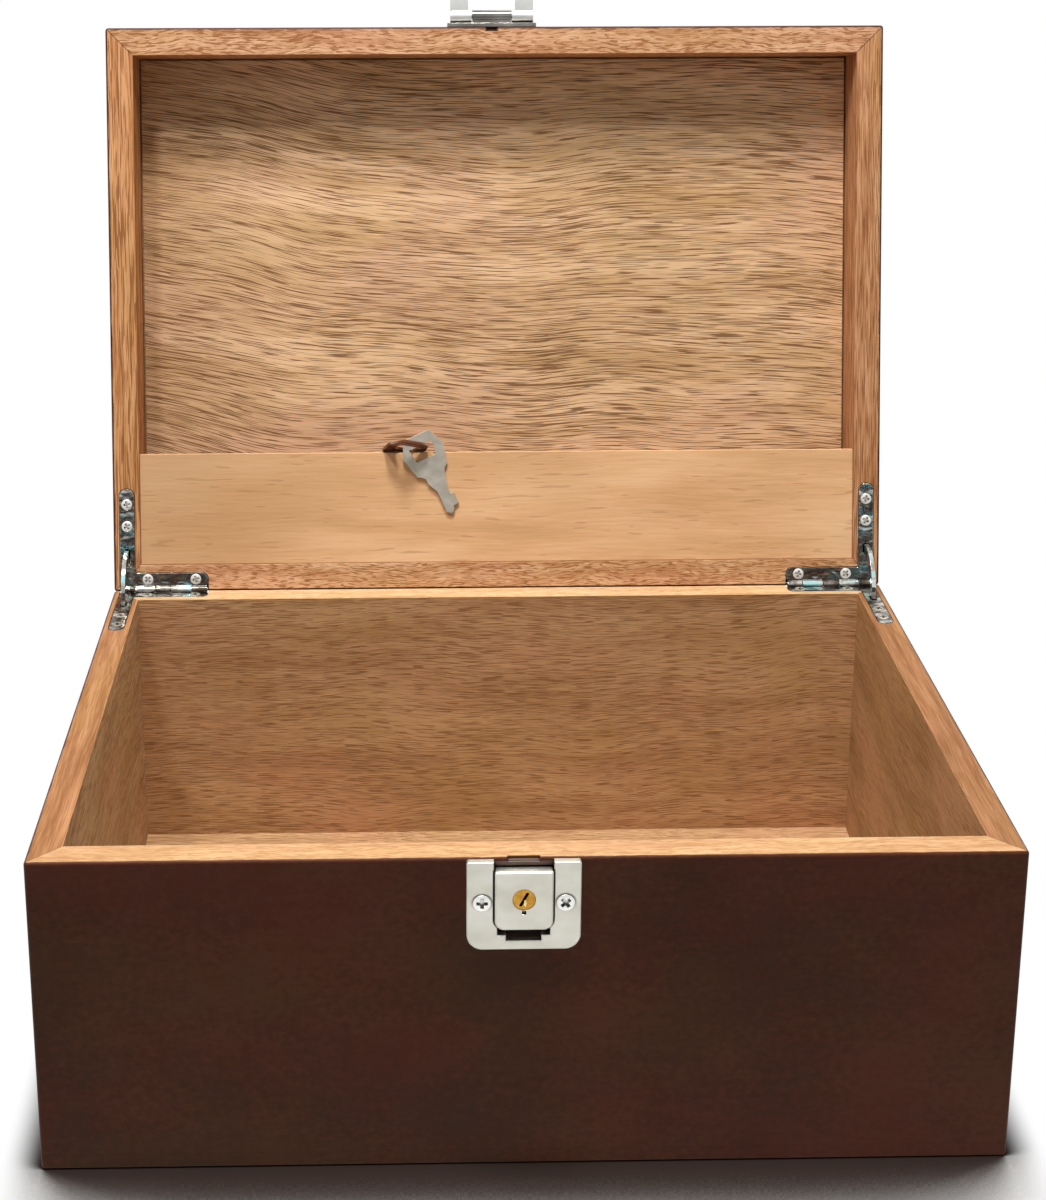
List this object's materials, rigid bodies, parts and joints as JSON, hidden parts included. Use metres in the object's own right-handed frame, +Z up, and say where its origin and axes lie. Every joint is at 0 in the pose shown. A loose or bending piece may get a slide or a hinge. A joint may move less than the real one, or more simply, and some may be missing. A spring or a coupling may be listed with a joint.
{
  "type": "wooden lock box",
  "caption": "Mitred wooden box with a hinged lid on quadrant hinges, a pocket board with two keys, and a hasp that snaps over a key-locked sliding button.",
  "frame": {"origin": "middle of the base's underside", "axes": "+Z up, the front with the lock faces -Y, +X to the right seen from the front"},
  "size_m": [0.305, 0.2997, 0.359],
  "materials": {
    "box_wood": "satin stain outside, bare wood inside",
    "lining_veneer": "bare sanded veneer",
    "pocket_wood": "bare sanded",
    "hinge_nickel": "bright nickel plate",
    "screw_steel": "bright zinc plate",
    "spring_steel": "drawn wire",
    "key_steel": "tumbled nickel plate",
    "case_steel": "dark lacquer",
    "plug_brass": "turned",
    "lock_steel": "satin nickel plate"
  },
  "bodies": {
    "base": {"base_front_board": "box_wood", "base_back_board": "box_wood", "base_left_board": "box_wood", "base_right_board": "box_wood", "base_bottom_panel": "box_wood", "hinge_left_base_leaf": "hinge_nickel", "hinge_right_base_leaf": "hinge_nickel", "hinge_left_base_screws": "screw_steel", "hinge_right_base_screws": "screw_steel", "hinge_left_pin": "hinge_nickel", "hinge_right_pin": "hinge_nickel", "lock_plate": "lock_steel", "lock_case": "case_steel", "lock_screws": "screw_steel", "lock_spring": "spring_steel"},
    "lid": {"lid_front_rail": "box_wood", "lid_back_rail": "box_wood", "lid_left_rail": "box_wood", "lid_right_rail": "box_wood", "lid_top_panel": "box_wood", "lid_lining_panel": "lining_veneer", "lid_pocket_board": "pocket_wood", "hinge_left_lid_leaf": "hinge_nickel", "hinge_right_lid_leaf": "hinge_nickel", "hinge_left_lid_screws": "screw_steel", "hinge_right_lid_screws": "screw_steel", "hasp_mount": "lock_steel", "hasp_screws": "screw_steel", "hasp_pin": "lock_steel", "hasp_spring": "spring_steel"},
    "stay_left": {"hinge_left_stay": "hinge_nickel"},
    "stay_right": {"hinge_right_stay": "hinge_nickel"},
    "hasp": {"hasp_frame": "lock_steel"},
    "button": {"lock_button": "lock_steel"},
    "cylinder": {"lock_plug": "plug_brass", "lock_cam": "plug_brass", "lock_cam_screw": "screw_steel"},
    "keys": {"key_front": "key_steel", "key_back": "key_steel"}
  },
  "joints": [
    {"name": "lid_hinge", "type": "hinge", "parent": "base", "child": "lid", "pos_m": [0, 0.1103, 0.1074], "axis": [-1, 0, 0], "range_deg": [-102, 0]},
    {"name": "stay_left_swing", "type": "hinge", "parent": "base", "child": "stay_left", "pos_m": [0, 0.1103, 0.1074], "axis": [-1, 0, 0], "range_deg": [-51, 0]},
    {"name": "stay_right_swing", "type": "hinge", "parent": "base", "child": "stay_right", "pos_m": [0, 0.1103, 0.1074], "axis": [-1, 0, 0], "range_deg": [-51, 0]},
    {"name": "hasp_hinge", "type": "hinge", "parent": "lid", "child": "hasp", "pos_m": [-0.0015, 0.16061, 0.32724], "axis": [-1, 0, 0], "range_deg": [-90, 0], "stiffness_Nm_per_rad": 0.01, "springref_deg": 28.65},
    {"name": "button_slide", "type": "slide", "parent": "base", "child": "button", "axis": [0, 0, 1], "range_m": [0, 0.003], "stiffness_N_per_m": 300, "springref_m": -0.003, "deforming": ["lock_spring"]},
    {"name": "cylinder_turn", "type": "hinge", "parent": "button", "child": "cylinder", "pos_m": [-0.0015, -0.111, 0.0949], "axis": [0, 1, 0], "range_deg": [-90, 0]},
    {"name": "keys_lift", "type": "slide", "parent": "lid", "child": "keys", "axis": [0, 0.2079, 0.9781], "range_m": [0, 0.06]}
  ],
  "couplings": [
    {"joint": "stay_left_swing", "follows": "lid_hinge", "ratio": 0.5},
    {"joint": "stay_right_swing", "follows": "lid_hinge", "ratio": 0.5}
  ]
}
